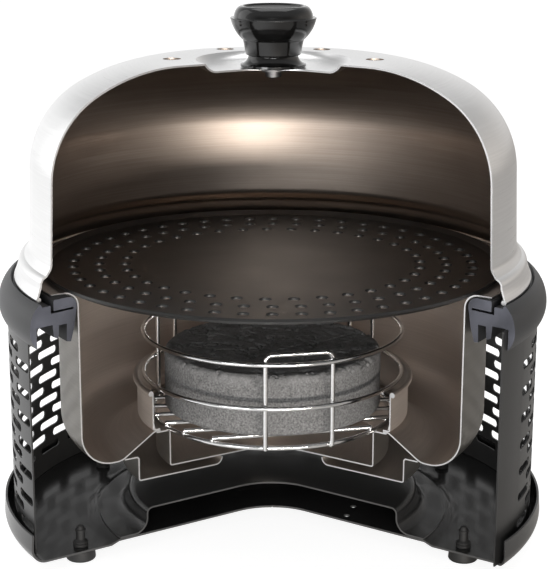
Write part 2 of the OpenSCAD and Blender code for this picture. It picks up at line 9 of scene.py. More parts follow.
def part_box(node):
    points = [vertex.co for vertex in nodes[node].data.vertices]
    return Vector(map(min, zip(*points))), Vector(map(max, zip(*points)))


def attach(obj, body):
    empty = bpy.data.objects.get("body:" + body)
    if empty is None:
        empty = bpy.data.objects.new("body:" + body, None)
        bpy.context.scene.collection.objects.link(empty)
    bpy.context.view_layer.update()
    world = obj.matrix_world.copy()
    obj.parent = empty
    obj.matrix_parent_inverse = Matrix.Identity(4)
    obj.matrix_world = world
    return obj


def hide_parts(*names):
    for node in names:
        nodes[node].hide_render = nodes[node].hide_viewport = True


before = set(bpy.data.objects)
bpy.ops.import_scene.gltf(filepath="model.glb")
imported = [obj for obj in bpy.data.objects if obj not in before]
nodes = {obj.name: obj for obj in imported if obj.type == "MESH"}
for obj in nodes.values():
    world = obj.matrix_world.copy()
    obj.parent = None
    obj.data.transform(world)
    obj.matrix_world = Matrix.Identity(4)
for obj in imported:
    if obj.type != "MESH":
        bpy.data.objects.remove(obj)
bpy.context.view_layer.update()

# Profiles are written in millimetres, as radius and height; meshes are in metres
MM = 0.001


def low(node):
    """Lowest height of a CAD node, in millimetres."""
    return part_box(node)[0].z / MM


def high(node):
    """Greatest height of a CAD node, in millimetres."""
    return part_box(node)[1].z / MM


def reach(node):
    """Greatest radius of a turned CAD node, in millimetres."""
    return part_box(node)[1].x / MM


# Where the turning axis stands, in metres
AXIS = Vector((0.0, (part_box("lid_knob")[0].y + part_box("lid_knob")[1].y) / 2, 0.0))


# Azimuths of the cuts, in degrees from -Y
CUT_LEFT = 58.4
CUT_RIGHT = 57.1
BASE_CUT_LEFT = 56.3
BASE_CUT_RIGHT = 56.0
RIM_CUT_RIGHT = 53.3
COLLAR_CUT_INNER = 57.0
COLLAR_CUT_OUTER = 54.5
CUT_CORNER = 35.0

# Sheet thicknesses and the bowl's throat, in millimetres
BOWL_SHEET = 0.8
PAN_SHEET = 1.2
THROAT_R = 75.6

# Mesh density: steps in a whole turn, and millimetres along a profile
TURN_STEPS = 200
KNOB_STEPS = 144
FOOT_STEPS = 64
STONE_STEPS = 320
HOLE_STEPS = 32
PROFILE_STEP = 4.0
FINE_STEP = 1.2
FINE_RADIUS = 26.0
SMOOTH_ANGLE = math.radians(32)

# Points nearer than the first are merged, and faces narrower than the second dropped
MERGE_WITHIN = 0.005 * MM
DROP_WITHIN = 0.004 * MM
# A cut narrower than this, in degrees, stays closed
LEAST_CUT = 0.01

# Depth of the relief in the finishes
BUMP_DEPTH = 0.2 * MM


# Profiles

def arc(cx, cz, r, start, end, steps=12):
    """Points along an arc of a profile, angles in degrees."""
    points = []
    for i in range(steps + 1):
        a = math.radians(start + (end - start) * i / steps)
        points.append((cx + r * math.cos(a), cz + r * math.sin(a)))
    return points


def bow(a, b, rise, steps=8):
    """Points along a shallow bow that rises to the left of the line from a to b."""
    dx, dz = b[0] - a[0], b[1] - a[1]
    length = math.hypot(dx, dz)
    points = []
    for i in range(steps + 1):
        t = i / steps
        lift = 4 * rise * t * (1 - t) / length
        points.append((a[0] + t * dx - lift * dz, a[1] + t * dz + lift * dx))
    return points


def refined(path):
    """The path with its long straight stretches divided, finely near the axis."""
    points = [path[0]]
    for a, b in zip(path, path[1:]):
        near = min(a[0], b[0]) < FINE_RADIUS
        step = FINE_STEP if near else PROFILE_STEP
        count = max(1, math.ceil(math.dist(a, b) / step))
        for i in range(1, count + 1):
            t = i / count
            points.append((a[0] + t * (b[0] - a[0]), a[1] + t * (b[1] - a[1])))
    return points


def offset_path(path, t):
    """The path moved by t to its left, kept off the far side of the axis."""
    moved = []
    last = len(path) - 1
    for i, p in enumerate(path):
        before = Vector(path[max(i, 1)]) - Vector(path[max(i, 1) - 1])
        after = Vector(path[min(i, last - 1) + 1]) - Vector(path[min(i, last - 1)])
        mean = (before.normalized() + after.normalized()).normalized()
        stretch = t / max(0.5, mean.dot(after.normalized()))
        moved.append((max(0.0, p[0] - stretch * mean.y), p[1] + stretch * mean.x))
    return moved


# Cuts: each gives the azimuths where material starts and ends at a radius

def wedge_cut(left, right):
    """Wedge whose two faces meet in a rounded corner at the axis."""
    half = math.radians((left + right) / 2)
    turn = (right - left) / 2
    centre = CUT_CORNER / math.sin(half)
    straight_from = CUT_CORNER / math.tan(half)

    def span(r):
        if r >= straight_from:
            opening = math.degrees(half)
        elif r > centre - CUT_CORNER:
            cosine = (r * r + centre * centre - CUT_CORNER * CUT_CORNER) / (2 * r * centre)
            opening = math.degrees(math.acos(max(-1.0, min(1.0, cosine))))
        else:
            opening = 0.0
        return turn + opening, 360 + turn - opening

    return span


def slanted_cut(inner_r, inner_az, outer_r, outer_az):
    """Two plane faces that run from one azimuth at the inner radius to another at the outer one."""
    inner, outer = math.radians(inner_az), math.radians(outer_az)
    a = Vector((inner_r * math.sin(inner), inner_r * math.cos(inner)))
    b = Vector((outer_r * math.sin(outer), outer_r * math.cos(outer)))
    d = b - a

    def span(r):
        half_b = a.dot(d)
        root = math.sqrt(max(0.0, half_b * half_b - d.dot(d) * (a.dot(a) - r * r)))
        p = a + d * ((root - half_b) / d.dot(d))
        opening = math.degrees(math.atan2(p.x, p.y))
        return opening, 360 - opening

    return span


def pan_cut(bend_r, rim_r):
    """The base's wedge, with the rim standing past the floor's right cut."""
    floor_span = wedge_cut(BASE_CUT_LEFT, BASE_CUT_RIGHT)

    def span(r):
        start, end = floor_span(r)
        past = max(0.0, min(1.0, (r - bend_r) / (rim_r - bend_r)))
        return start - past * (BASE_CUT_RIGHT - RIM_CUT_RIGHT), end

    return span


SHELL_CUT = wedge_cut(CUT_LEFT, CUT_RIGHT)
BASE_CUT = wedge_cut(BASE_CUT_LEFT, BASE_CUT_RIGHT)


# Meshes

def mesh_object(name, bm, finishes, place=AXIS):
    """Object made of a bmesh about an upright axis, with its finishes as material slots."""
    mesh = bpy.data.meshes.new(name)
    bmesh.ops.translate(bm, verts=bm.verts, vec=place)
    bm.to_mesh(mesh)
    bm.free()
    for finish in finishes:
        mesh.materials.append(finish)
    mesh.shade_smooth()
    mesh.set_sharp_from_angle(angle=SMOOTH_ANGLE)
    obj = bpy.data.objects.new(name, mesh)
    bpy.context.scene.collection.objects.link(obj)
    return obj


def close_up(bm):
    """Merges what coincides, drops what has no area and turns all faces outwards."""
    bmesh.ops.remove_doubles(bm, verts=bm.verts, dist=MERGE_WITHIN)
    bmesh.ops.dissolve_degenerate(bm, edges=bm.edges, dist=DROP_WITHIN)
    bmesh.ops.recalc_face_normals(bm, faces=bm.faces)


def turned(loop, sides, caps, span, steps=TURN_STEPS):
    """Closed profile turned about Z from cut to cut.

    sides gives a finish to each edge of the loop; caps are (points of the loop, finish) at both cuts.
    """
    bm = bmesh.new()
    rings = []
    for r, z in loop:
        start, end = span(r) if span else (0.0, 360.0)
        ring = []
        for j in range(steps + 1):
            a = math.radians(start + (end - start) * j / steps)
            ring.append(bm.verts.new((r * math.sin(a) * MM, -r * math.cos(a) * MM, z * MM)))
        rings.append(ring)
    count = len(loop)
    for k in range(count):
        ring, following = rings[k], rings[(k + 1) % count]
        for j in range(steps):
            face = bm.faces.new((ring[j], ring[j + 1], following[j + 1], following[j]))
            face.material_index = sides[k]
    for corners, finish in caps if span else []:
        widths = [span(loop[k][0]) for k in corners]
        if max(360 - (end - start) for start, end in widths) < LEAST_CUT:
            continue
        for j in (0, steps):
            face = bm.faces.new([rings[k][j] for k in corners])
            face.material_index = finish
    close_up(bm)
    return bm


FACE, BACK, CUT = 0, 1, 2


def sheet_piece(name, path, t, span, finishes, bead=None):
    """Sheet of even thickness turned about Z: FACE on the path, BACK at t to its left.

    bead, if given, is the arc of points that closes the sheet at the path's start.
    """
    face = refined(path)
    back = offset_path(face, t)
    bead = bead or []
    loop = face + back[::-1] + bead
    n = len(face)
    sides = [FACE] * (n - 1) + [CUT] + [BACK] * (n - 1) + [FACE] * (len(bead) + 1)
    if not bead:
        sides[-1] = CUT
    last = 2 * n - 1
    caps = [((k, k + 1, last - k - 1, last - k), CUT) for k in range(n - 1)]
    if bead:
        caps.append(([0, last] + list(range(last + 1, len(loop))), CUT))
    bm = turned(loop, sides, caps, span)
    return mesh_object(name, bm, finishes)


def solid_piece(name, loop, finishes, steps, place=AXIS, sides=None):
    """Whole turned solid about an upright axis at a place."""
    bm = turned(loop, sides or [FACE] * len(loop), [], None, steps)
    return mesh_object(name, bm, finishes, place)


def drill(obj, holes, finish=CUT):
    """Cuts upright round holes with one finish on their walls.

    Each hole is (x, y, radius, low, high), in millimetres.
    """
    bm = bmesh.new()
    for x, y, r, bottom, top in holes:
        middle = Matrix.Translation(Vector((x, y, (bottom + top) / 2)) * MM)
        bmesh.ops.create_cone(bm, cap_ends=True, segments=HOLE_STEPS, radius1=r * MM, radius2=r * MM,
                              depth=(top - bottom) * MM, matrix=middle)
    for face in bm.faces:
        face.material_index = finish
    cutter = mesh_object(obj.name + "_holes", bm, list(obj.data.materials))
    modifier = obj.modifiers.new("holes", "BOOLEAN")
    modifier.operation = "DIFFERENCE"
    modifier.solver = "EXACT"
    modifier.object = cutter
    drilled = bpy.data.meshes.new_from_object(obj.evaluated_get(bpy.context.evaluated_depsgraph_get()))
    obj.modifiers.remove(modifier)
    old = obj.data
    obj.data = drilled
    drilled.name = obj.name
    bpy.data.meshes.remove(old)
    bpy.data.objects.remove(cutter)
    drilled.set_sharp_from_angle(angle=SMOOTH_ANGLE)


def polar(r, az):
    """Plan position at a radius and an azimuth."""
    return r * math.sin(math.radians(az)), -r * math.cos(math.radians(az))


# Shader helpers

def new_group(name, inputs, outputs):
    """Shader node group with named sockets: (name, socket type, default)."""
    group = bpy.data.node_groups.new(name, "ShaderNodeTree")
    for label, kind, default in inputs:
        socket = group.interface.new_socket(name=label, in_out="INPUT", socket_type=kind)
        socket.default_value = default
    for label, kind in outputs:
        group.interface.new_socket(name=label, in_out="OUTPUT", socket_type=kind)
    return group, group.nodes.new("NodeGroupInput"), group.nodes.new("NodeGroupOutput")


def add(tree, kind, links=None, **settings):
    """Node with settings and links: links map an input's name or index to a socket or a value."""
    node = tree.nodes.new(kind)
    for key, value in settings.items():
        setattr(node, key, value)
    for key, value in (links or {}).items():
        if isinstance(value, bpy.types.NodeSocket):
            tree.links.new(value, node.inputs[key])
        else:
            node.inputs[key].default_value = value
    return node


def maths(tree, operation, a, b=0.0):
    """Output of a Math node."""
    return add(tree, "ShaderNodeMath", {0: a, 1: b}, operation=operation).outputs[0]


def between(tree, value, least, most):
    """Output that runs from the least to the most as the value goes from 0 to 1."""
    node = add(tree, "ShaderNodeMath", {0: value, 1: most - least, 2: least}, operation="MULTIPLY_ADD")
    return node.outputs[0]


def weighted(tree, a, share, b):
    """Output that takes a share of one value and the rest of another."""
    first = maths(tree, "MULTIPLY", a, share)
    return maths(tree, "ADD", first, maths(tree, "MULTIPLY", b, 1 - share))


def blend(tree, share, first, second):
    """Output that goes from the first colour to the second."""
    return add(tree, "ShaderNodeMixRGB", {"Fac": share, "Color1": first, "Color2": second}).outputs[0]


def cloudy(tree, place, scale, detail, roughness=0.5):
    """Output of a Noise node."""
    links = {"Vector": place, "Scale": scale, "Detail": detail, "Roughness": roughness}
    return add(tree, "ShaderNodeTexNoise", links).outputs[0]


def coordinate_of(tree, kind="Object"):
    """Coordinates that finishes and light are laid out in."""
    return add(tree, "ShaderNodeTexCoord").outputs[kind]


def ramp(tree, value, stops):
    """Output of a colour ramp with (place, colour) stops."""
    node = add(tree, "ShaderNodeValToRGB", {"Fac": value})
    elements = node.color_ramp.elements
    while len(elements) < len(stops):
        elements.new(0.5)
    for element, (place, colour) in zip(elements, stops):
        element.position = place
        element.color = (*colour, 1.0)
    return node.outputs["Color"]


def grey(v):
    """Neutral colour."""
    return (v, v, v)


def lathe_lines_group():
    """Fine lines round the axis, as turning and brushing leave them on spun sheet."""
    group, given, out = new_group(
        "Lathe lines",
        [("Density", "NodeSocketFloat", 1500.0), ("Breakup", "NodeSocketFloat", 3.0)],
        [("Lines", "NodeSocketFloat"), ("Blotch", "NodeSocketFloat")],
    )
    coordinate = coordinate_of(group)
    about_axis = add(group, "ShaderNodeVectorMath", {0: coordinate, 1: AXIS}, operation="SUBTRACT").outputs[0]
    x, y, z = add(group, "ShaderNodeSeparateXYZ", {0: about_axis}).outputs
    squares = [maths(group, "MULTIPLY", axis, axis) for axis in (x, y)]
    radius = maths(group, "SQRT", maths(group, "ADD", *squares))
    angle = maths(group, "ARCTAN2", x, y)
    across = maths(group, "MULTIPLY", maths(group, "ADD", radius, z), given.outputs["Density"])
    along = maths(group, "MULTIPLY", maths(group, "COSINE", angle), given.outputs["Breakup"])
    sideways = maths(group, "MULTIPLY", maths(group, "SINE", angle), given.outputs["Breakup"])
    stretched = add(group, "ShaderNodeCombineXYZ", {0: along, 1: sideways, 2: across}).outputs[0]
    group.links.new(cloudy(group, stretched, 1.0, 3.0, 0.6), out.inputs["Lines"])
    group.links.new(cloudy(group, coordinate, 14.0, 4.0), out.inputs["Blotch"])
    return group


def speckle_group():
    """Grain of a coat or casting: fine bumps and a slow change of tone."""
    group, given, out = new_group(
        "Speckle",
        [("Grain", "NodeSocketFloat", 2500.0), ("Cloud", "NodeSocketFloat", 25.0)],
        [("Grain", "NodeSocketFloat"), ("Cloud", "NodeSocketFloat")],
    )
    coordinate = coordinate_of(group)
    for label, detail in (("Grain", 2.0), ("Cloud", 4.0)):
        group.links.new(cloudy(group, coordinate, given.outputs[label], detail), out.inputs[label])
    return group


LATHE_LINES = lathe_lines_group()
SPECKLE = speckle_group()


def new_finish(name, **constants):
    """Material with a Principled shader whose constant sockets are set by name."""
    material = bpy.data.materials.new(name)
    material.use_nodes = True
    tree = material.node_tree
    shader = tree.nodes["Principled BSDF"]
    for key, value in constants.items():
        shader.inputs[key.replace("_", " ")].default_value = value
    return material, tree, shader


def use_group(tree, group, **values):
    """Outputs of a shared group, placed with its own values."""
    node = add(tree, "ShaderNodeGroup", node_tree=group)
    for key, value in values.items():
        node.inputs[key].default_value = value
    return node.outputs


def bump(tree, shader, height, strength, distance=BUMP_DEPTH):
    """Relief on a finish."""
    node = add(tree, "ShaderNodeBump", {"Height": height, "Strength": strength, "Distance": distance})
    tree.links.new(node.outputs[0], shader.inputs["Normal"])


def steel(name, light, dark, rough, line_bump=0.12, anisotropy=0.55, density=1500.0):
    """Brushed stainless sheet with lines round the axis."""
    material, tree, shader = new_finish(name, Metallic=1.0, Anisotropic=anisotropy)
    lines = use_group(tree, LATHE_LINES, Density=density, Breakup=2.0)
    tone = weighted(tree, lines["Lines"], 0.6, lines["Blotch"])
    tree.links.new(ramp(tree, tone, [(0.3, dark), (0.7, light)]), shader.inputs["Base Color"])
    tree.links.new(between(tree, lines["Lines"], *rough), shader.inputs["Roughness"])
    bump(tree, shader, lines["Lines"], line_bump)
    return material


def coated(name, colour, lighter, rough, grain=2500.0, grain_bump=0.1, coat=0.0):
    """Black enamel, powder coat, plastic or rubber: tone, gloss and grain vary a little."""
    material, tree, shader = new_finish(name, Coat_Weight=coat, Coat_Roughness=0.06)
    speckle = use_group(tree, SPECKLE, Grain=grain, Cloud=30.0)
    tone = ramp(tree, speckle["Cloud"], [(0.35, colour), (0.7, lighter)])
    tree.links.new(tone, shader.inputs["Base Color"])
    tree.links.new(between(tree, speckle["Cloud"], *rough), shader.inputs["Roughness"])
    bump(tree, shader, speckle["Grain"], grain_bump)
    return material


def charcoal_finish():
    """Pressed charcoal: grey speckled sides, a charred top with soot and dust."""
    burnt_from, burnt_to, wobble = 6.5, 2.5, 3.0
    top = high("charcoal_stone")
    material, tree, shader = new_finish("pressed_charcoal", Specular_IOR_Level=0.25)
    coordinate = coordinate_of(tree)
    height = add(tree, "ShaderNodeSeparateXYZ", {0: coordinate}).outputs["Z"]
    uneven = between(tree, cloudy(tree, coordinate, 120.0, 4.0), -wobble * MM, wobble * MM)
    reached = add(tree, "ShaderNodeMapRange",
                  {"Value": maths(tree, "ADD", height, uneven),
                   "From Min": (top - burnt_from) * MM, "From Max": (top - burnt_to) * MM})
    grain = cloudy(tree, coordinate, 900.0, 4.0, 0.7)
    dust = cloudy(tree, coordinate, 75.0, 6.0, 0.65)
    side = ramp(tree, grain, [(0.32, grey(0.08)), (0.5, grey(0.2)), (0.68, grey(0.32))])
    char = ramp(tree, weighted(tree, grain, 0.45, dust),
                [(0.36, grey(0.03)), (0.44, grey(0.19)), (0.56, grey(0.28)), (0.66, grey(0.42))])
    tree.links.new(blend(tree, reached.outputs[0], side, char), shader.inputs["Base Color"])
    tree.links.new(between(tree, grain, 0.65, 0.9), shader.inputs["Roughness"])
    bump(tree, shader, grain, 0.5, 3 * BUMP_DEPTH)
    return material


def all_finishes():
    """Finishes by name: two tones, the range of roughness, and what else differs."""
    return {
        "lid_outside": steel("lid_outside", grey(0.88), grey(0.76), (0.24, 0.36)),
        # Painted shade: the lid's inside is the same steel as its outside, painted darker and warmer
        "lid_inside_painted_shade": steel("lid_inside_painted_shade", (0.46, 0.40, 0.35), (0.34, 0.28, 0.24), (0.34, 0.48)),
        # Painted light: the inside of the bowl and the moat ring is the same steel as the bowl's outside,
        # painted lighter and warmer
        "bowl_inside_painted_light": steel("bowl_inside_painted_light", (0.70, 0.63, 0.58), (0.56, 0.50, 0.45), (0.46, 0.6)),
        "bowl_outside": steel("bowl_outside", (0.55, 0.53, 0.50), (0.42, 0.40, 0.37), (0.3, 0.42)),
        "cut_steel": steel("cut_steel", grey(0.74), grey(0.6), (0.3, 0.45),
                           line_bump=0.05, anisotropy=0.0),
        "enamel": coated("enamel", grey(0.018), grey(0.03), (0.18, 0.27),
                         grain=900.0, grain_bump=0.05, coat=0.1),
        "cut_enamel": coated("cut_enamel", grey(0.05), grey(0.09), (0.35, 0.5)),
        "wall_coat": coated("wall_coat", grey(0.016), grey(0.026), (0.30, 0.42),
                            grain=3000.0, grain_bump=0.12),
        "collar_skin": coated("collar_skin", (0.022, 0.023, 0.025), (0.034, 0.035, 0.038), (0.40, 0.52),
                              grain=3500.0),
        "collar_cut": coated("collar_cut", (0.05, 0.053, 0.066), (0.14, 0.147, 0.18), (0.55, 0.75),
                             grain=1800.0, grain_bump=0.3),
        "plate_coat": coated("plate_coat", grey(0.008), grey(0.02), (0.28, 0.45),
                             grain=2200.0, grain_bump=0.2),
        "knob_gloss": coated("knob_gloss", grey(0.004), grey(0.008), (0.10, 0.18),
                             grain=900.0, grain_bump=0.02, coat=0.1),
        "knob_disc": coated("knob_disc", grey(0.05), grey(0.07), (0.45, 0.6), grain=1500.0),
        "rubber": coated("rubber", grey(0.012), grey(0.02), (0.5, 0.65), grain=2000.0, grain_bump=0.2),
        "wire": steel("bright_wire", grey(0.86), grey(0.74), (0.10, 0.2),
                      line_bump=0.04, anisotropy=0.0, density=700.0),
        "screw": steel("screw", grey(0.62), grey(0.5), (0.25, 0.4), line_bump=0.1, anisotropy=0.0),
        "dull_screw": steel("dull_screw", grey(0.2), grey(0.12), (0.4, 0.55),
                            line_bump=0.1, anisotropy=0.0),
        "charcoal": charcoal_finish(),
    }


FINISH = all_finishes()

# Finishes of sheet pieces: FACE, BACK and CUT
LID_FINISHES = [FINISH[name] for name in ("lid_outside", "lid_inside_painted_shade", "cut_steel")]
BOWL_FINISHES = [FINISH[name] for name in ("bowl_outside", "bowl_inside_painted_light", "cut_steel")]
MOAT_FINISHES = [FINISH[name] for name in ("bowl_inside_painted_light", "bowl_inside_painted_light", "cut_steel")]
ENAMEL_FINISHES = [FINISH[name] for name in ("enamel", "enamel", "cut_enamel")]


# Lid

def lid_piece():
    """Domed sheet with a seat for the knob, vents round it, a stepped skirt and a rolled edge."""
    t = 1.0
    bead_r = 1.5
    bead_c = (reach("lid") - bead_r, low("lid") + bead_r)
    bead_end = (bead_c[0] + 0.9, bead_c[1] + 1.2)
    top = high("lid")
    seat_r, seat_wall, seat_z = 44.0, 5.0, top - 4.2
    seat_bend, seat_floor_z, screw_hole_r = 1.5, seat_z - 0.3, 2.7
    lid_r, shoulder_r, shoulder_turn = 139.0, 54.0, 60
    crown_r, crown_turn = 104.0, 62
    crown_c = (60.0, top - crown_r)
    shoulder_rise = (crown_r - shoulder_r) * math.sin(math.radians(shoulder_turn))
    shoulder_c = (lid_r - shoulder_r, crown_c[1] + shoulder_rise)
    skirt_r, skirt_top, step_r = bead_c[0] - 1.2, bead_c[1] + 17.5, 5.0
    step_z = skirt_top - 2 * step_r
    neck_foot, neck_top = (lid_r + 2.1, skirt_top - 1.2), (lid_r + 1.5, skirt_top + 2.0)
    path = [bead_end, (skirt_r, step_z)]
    path += arc(skirt_r - step_r, step_z + 0.6, step_r, 8, 72, 8)
    path += bow(neck_foot, neck_top, 0.15, 5)
    path += arc(*shoulder_c, shoulder_r, 0, shoulder_turn, 30)
    path += arc(*crown_c, crown_r, crown_turn, 90, 16)
    path += bow((seat_r, top), (seat_r - seat_wall, seat_z), 0.5, 6)
    path += [(seat_r - seat_wall - seat_bend, seat_floor_z), (screw_hole_r, seat_floor_z)]
    bead = arc(*bead_c, bead_r, 118, 398, 22)
    piece = sheet_piece("lid_shell", path, t, SHELL_CUT, LID_FINISHES, bead)
    vent_place_r, vent_r, cut_low, cut_high = 57.5, 5.2, top - 12, top + 6
    vents = [(*polar(vent_place_r, az), vent_r, cut_low, cut_high) for az in (90, 150, 210, 270)]
    drill(piece, vents, BACK)
    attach(piece, "cover")
    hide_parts("lid")


def knob_piece():
    """Turned knob: foot, neck, flared body with a ridge, and a dome with a shallow dish."""
    z = low("lid_knob")
    h = high("lid_knob") - z
    foot_r, neck_r, waist_r, ridge_r, top_r = 18.6, 14.2, 17.2, reach("lid_knob"), 17.6
    neck_h, waist_h, ridge_h, ridge_edge = 6.0, 15.0, h - 7.2, 0.35
    crown_r, crown_h, dome_steps = ridge_r - 2.1, ridge_h + 0.7, 12
    profile = [(0.0, 0.0), (foot_r - 0.4, 0.0), (foot_r, 0.4)]
    profile += bow((foot_r, 1.6), (neck_r, neck_h), 1.0, 10)
    profile += [(neck_r, neck_h + 0.3), (neck_r + 1.2, neck_h + 0.9), (neck_r + 1.55, neck_h + 1.3)]
    profile += bow((neck_r + 1.6, neck_h + 1.6), (waist_r, waist_h), 0.1, 6)
    profile += bow((waist_r + 0.1, waist_h + 0.3), (ridge_r - 0.25, ridge_h - 0.3), -1.1, 14)
    profile += arc(ridge_r - ridge_edge, ridge_h + 0.3, ridge_edge, -20, 90, 5)
    profile += [(crown_r + 0.35, crown_h - 0.05), (crown_r + 0.05, crown_h + 0.3)]
    for i in range(1, dome_steps + 1):
        a = math.radians(90 * i / dome_steps)
        profile.append((top_r + (crown_r - top_r) * math.cos(a), crown_h + (h - crown_h) * math.sin(a)))
    profile.append((top_r - 0.5, h - 0.15))
    dish = [(top_r - 1.0, h - 1.1), (top_r - 1.5, h - 1.25), (0.0, h - 1.2)]
    sides = [FACE] * len(profile) + [BACK] * len(dish)
    piece = solid_piece("knob_turned", [(r, z + up) for r, up in profile + dish],
                        [FINISH["knob_gloss"], FINISH["knob_disc"]], KNOB_STEPS, sides=sides)
    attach(piece, "cover")
    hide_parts("lid_knob")


# Bowl and its trays

def bowl_piece():
    """Bowl with a flared rim, a round-bottomed moat and a cone that rises to its throat."""
    t = BOWL_SHEET
    bowl_r, flare_r, outer_r, inner_r, slope = 125.4, 7.4, 19.5, 11.0, 33.0
    throat_outer_r, moat_flat = 79.0, 2.4
    rim_z, moat_z = high("inner_bowl") - t, low("inner_bowl")
    flare_c = (bowl_r + flare_r, rim_z - flare_r)
    outer_c = (bowl_r - outer_r, moat_z + outer_r)
    inner_c = (outer_c[0] - moat_flat, moat_z + inner_r)
    cone = arc(*inner_c, inner_r, -90, -90 - slope, 10)
    cone_r, cone_z = cone[-1]
    throat_z = cone_z + (cone_r - throat_outer_r) * math.tan(math.radians(slope))
    path = [(reach("inner_bowl"), rim_z)]
    path += arc(*flare_c, flare_r, 90, 180, 20)
    path += arc(*outer_c, outer_r, 0, -90, 20)
    path += cone
    path += [(throat_outer_r + 0.5, throat_z - 0.3), (throat_outer_r - 0.6, throat_z), (THROAT_R, throat_z)]
    piece = sheet_piece("bowl_shell", path, -t, SHELL_CUT, BOWL_FINISHES)
    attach(piece, "bowl")
    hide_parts("inner_bowl")


def moat_ring_piece():
    """Upright ring on the bowl's throat, with a rolled top."""
    t, bead_r, bend = BOWL_SHEET, 1.6, 1.2
    z, top = low("moat_ring"), high("moat_ring")
    ring_r = 80.4
    bead_c = (ring_r - t + bead_r, top - bead_r)
    path = [(bead_c[0] - bead_r + t, top - 1.6 * bead_r), (ring_r, z + bend)]
    path += arc(ring_r - bend, z + bend, bend, 0, -90, 5)
    path += [(THROAT_R, z)]
    bead = arc(*bead_c, bead_r, 180, -110, 20)
    piece = sheet_piece("moat_ring_shell", path, -t, SHELL_CUT, MOAT_FINISHES, bead)
    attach(piece, "bowl")
    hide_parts("moat_ring")


def pressed_path(node, wall_r):
    """Path of a pressed tray: its flange, its wall and the bend to its floor."""
    bend, ease = 1.6, 0.8
    z, flange_z = low(node), high(node) - BOWL_SHEET
    path = [(reach(node), flange_z), (wall_r + ease, flange_z), (wall_r, flange_z - ease)]
    return path + arc(wall_r - bend, z + bend, bend, 0, -90, 6)


def tray_piece():
    """Tray under the bowl, with a lipped air hole in its middle."""
    hole_r, lip_r = 34.5, 4.6
    path = pressed_path("air_tray", 90.0)
    path += arc(hole_r + lip_r, low("air_tray") + lip_r, lip_r, 270, 180, 10)
    piece = sheet_piece("air_tray_shell", path, -BOWL_SHEET, SHELL_CUT, BOWL_FINISHES)
    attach(piece, "bowl")
    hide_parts("air_tray")


def ash_pan_piece():
    """Closed cup under the basket."""
    path = pressed_path("ash_pan", 69.7) + [(0.0, low("ash_pan"))]
    piece = sheet_piece("ash_pan_shell", path, -BOWL_SHEET, SHELL_CUT, BOWL_FINISHES)
    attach(piece, "bowl")
    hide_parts("ash_pan")


# Base

def base_pan_piece():
    """Floor pan with a raised middle, an upturned rim, air holes and holes for the feet."""
    z, top = low("base_pan"), high("base_pan")
    step, step_top_r, step_foot_r = 1.8, 105.0, 110.0
    rim_r, bend, lean = 160.0, 9.0, 0.6
    path = [(0.0, z + step), (step_top_r, z + step), (step_foot_r, z)]
    path += arc(rim_r - bend, z + bend, bend, -90, 0, 16)
    path += [(rim_r - lean, top)]
    piece = sheet_piece("base_pan_shell", path, PAN_SHEET, pan_cut(rim_r - bend, rim_r), ENAMEL_FINISHES)
    air_place_r, air_r, stem_place_r, stem_hole_r = 49.5, 1.8, 126.0, 2.8
    under, over_step, over_floor = z - 2, z + 6, z + 4
    air = [(*polar(air_place_r, az + side), air_r, under, over_step)
           for az in (72, 162, 252) for side in (-8.5, 8.5)]
    stems = [(*polar(stem_place_r, az), stem_hole_r, under, over_floor) for az in (-60, 60, 120, 240)]
    drill(piece, air + stems)
    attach(piece, "base")
    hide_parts("base_pan")


def heat_shield_piece():
    """Raised round shield that stands on the pan with a flared foot."""
    t, foot_bend, top_bend, foot_w = 1.0, 9.0, 3.0, 18.4
    foot_r = reach("heat_shield")
    side_r = foot_r - foot_w
    z, deck_z = low("heat_shield"), high("heat_shield") - t
    path = [(foot_r, z)]
    path += arc(side_r + foot_bend, z + foot_bend, foot_bend, 270, 180, 14)
    path += arc(side_r - top_bend, deck_z - top_bend, top_bend, 0, 90, 8)
    path += [(0.0, deck_z)]
    piece = sheet_piece("heat_shield_shell", path, -t, BASE_CUT, ENAMEL_FINISHES)
    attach(piece, "base")
    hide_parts("heat_shield")


def foot_piece(node):
    """Rubber foot under the pan, with a ribbed plug and a stem above its floor."""
    lo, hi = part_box(node)
    place = Vector(((lo.x + hi.x) / 2, (lo.y + hi.y) / 2, 0.0))
    foot_r, stem_r, shoulder_r = (hi.x - lo.x) / 2 / MM, 2.6, 4.3
    edge, clearance, ribs, rib_r, rib_pitch = 1.4, 0.05, 2, 0.5, 1.5
    floor_z = low("base_pan")
    under, above, top = floor_z - clearance, floor_z + PAN_SHEET + clearance, hi.z / MM
    profile = [(0.0, 0.0), (foot_r - 1.8, 0.0)] + arc(foot_r - edge, edge, edge, -90, 4, 6)
    profile += [(foot_r - 0.5, under - 0.4), (foot_r - 0.9, under), (stem_r, under), (stem_r, above)]
    profile += [(shoulder_r, above + 0.1)]
    for rib in range(ribs):
        rib_z = above + 0.4 + rib_pitch * rib
        profile += arc(shoulder_r - rib_r, rib_z + 0.55, rib_r, -70, 70, 5)
        profile += [(shoulder_r - 0.55, rib_z + 1.25)]
    profile += [(stem_r + 0.5, above + 3.6), (stem_r, above + 4.2)]
    profile += [(stem_r, top - 3.2), (stem_r + 0.35, top - 3.0), (stem_r + 0.35, top - 2.0)]
    profile += [(stem_r - 0.1, top - 1.8), (stem_r - 1.0, top), (0.0, top)]
    piece = solid_piece(node + "_plug", profile, [FINISH["rubber"]], FOOT_STEPS, place)
    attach(piece, "base")
    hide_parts(node)


